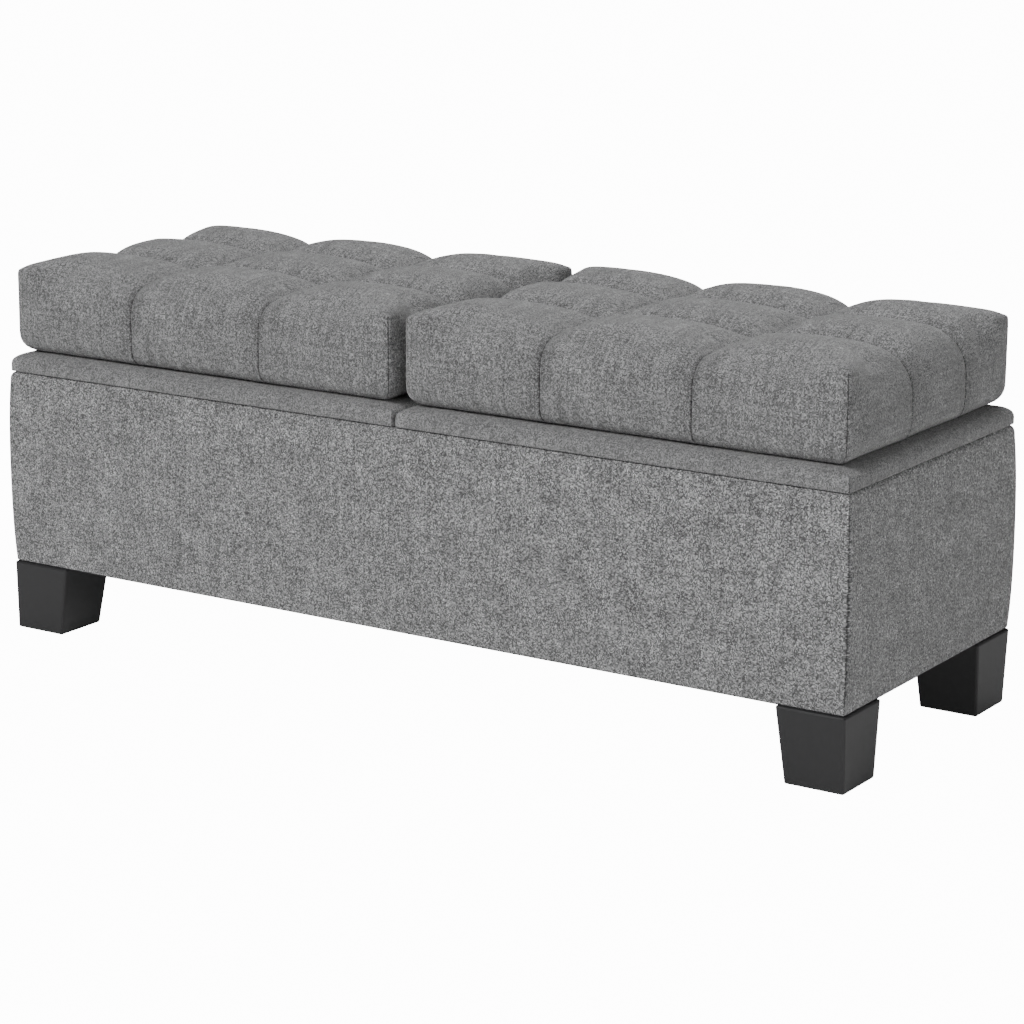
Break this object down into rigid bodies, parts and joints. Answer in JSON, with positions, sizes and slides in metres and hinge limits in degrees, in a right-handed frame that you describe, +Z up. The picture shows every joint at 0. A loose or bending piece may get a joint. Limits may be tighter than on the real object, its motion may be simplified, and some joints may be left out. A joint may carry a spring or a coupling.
{
  "type": "storage bench",
  "caption": "Upholstered storage bench on tapered block legs, with two flip-up lids that carry square-tufted cushions over open compartments.",
  "frame": {"origin": "on the floor, at the middle of the bench's length and depth", "axes": "+Z up, +X along the bench's length to the right as seen from the front, -Y towards the front"},
  "size_m": [1.1554, 0.4104, 0.4615],
  "materials": {
    "board_wood": "matte",
    "foam": "matte",
    "body_fabric": "matte",
    "lid_fabric": "matte",
    "cushion_fabric": "matte",
    "lining_cloth": "matte",
    "leg_paint": "satin",
    "zinc_steel": "satin"
  },
  "bodies": {
    "body": {"front_panel": "board_wood", "rear_panel": "board_wood", "left_end_panel": "board_wood", "right_end_panel": "board_wood", "floor_panel": "board_wood", "centre_divider": "board_wood", "front_left_corner_block": "board_wood", "front_right_corner_block": "board_wood", "rear_left_corner_block": "board_wood", "rear_right_corner_block": "board_wood", "front_foam": "foam", "rear_foam": "foam", "left_foam": "foam", "right_foam": "foam", "body_cover": "body_fabric", "left_lining": "lining_cloth", "right_lining": "lining_cloth", "underside_cloth": "lining_cloth", "front_left_leg": "leg_paint", "front_right_leg": "leg_paint", "rear_left_leg": "leg_paint", "rear_right_leg": "leg_paint", "front_left_leg_bolt": "zinc_steel", "front_right_leg_bolt": "zinc_steel", "rear_left_leg_bolt": "zinc_steel", "rear_right_leg_bolt": "zinc_steel", "left_inner_hinge_lower_leaf": "zinc_steel", "left_inner_hinge_pin": "zinc_steel", "left_outer_hinge_lower_leaf": "zinc_steel", "left_outer_hinge_pin": "zinc_steel", "right_inner_hinge_lower_leaf": "zinc_steel", "right_inner_hinge_pin": "zinc_steel", "right_outer_hinge_lower_leaf": "zinc_steel", "right_outer_hinge_pin": "zinc_steel", "left_stay_stud": "zinc_steel", "right_stay_stud": "zinc_steel"},
    "left_lid": {"left_lid_board": "board_wood", "left_lid_foam": "foam", "left_lid_cover": "lid_fabric", "left_lid_lining": "lining_cloth", "left_cushion_foam": "foam", "left_cushion_cover": "cushion_fabric", "left_inner_hinge_upper_leaf": "zinc_steel", "left_outer_hinge_upper_leaf": "zinc_steel", "left_stay_bracket": "zinc_steel"},
    "left_stay": {"left_stay_arm": "zinc_steel"},
    "right_lid": {"right_lid_board": "board_wood", "right_lid_foam": "foam", "right_lid_cover": "lid_fabric", "right_lid_lining": "lining_cloth", "right_cushion_foam": "foam", "right_cushion_cover": "cushion_fabric", "right_inner_hinge_upper_leaf": "zinc_steel", "right_outer_hinge_upper_leaf": "zinc_steel", "right_stay_bracket": "zinc_steel"},
    "right_stay": {"right_stay_arm": "zinc_steel"}
  },
  "joints": [
    {"name": "left_lid_hinge", "type": "hinge", "parent": "body", "child": "left_lid", "pos_m": [-0.2875, 0.2027, 0.3222], "axis": [-1, 0, 0], "range_deg": [0, 95]},
    {"name": "left_stay_swing", "type": "hinge", "parent": "left_lid", "child": "left_stay", "pos_m": [-0.5448, 0.09871, 0.3077], "axis": [-1, 0, 0], "range_deg": [-47.5, 0]},
    {"name": "right_lid_hinge", "type": "hinge", "parent": "body", "child": "right_lid", "pos_m": [0.2875, 0.2027, 0.3222], "axis": [-1, 0, 0], "range_deg": [0, 95]},
    {"name": "right_stay_swing", "type": "hinge", "parent": "right_lid", "child": "right_stay", "pos_m": [0.5448, 0.09871, 0.3077], "axis": [-1, 0, 0], "range_deg": [-47.5, 0]}
  ],
  "couplings": [
    {"joint": "left_stay_swing", "follows": "left_lid_hinge", "ratio": -0.5},
    {"joint": "right_stay_swing", "follows": "right_lid_hinge", "ratio": -0.5}
  ]
}
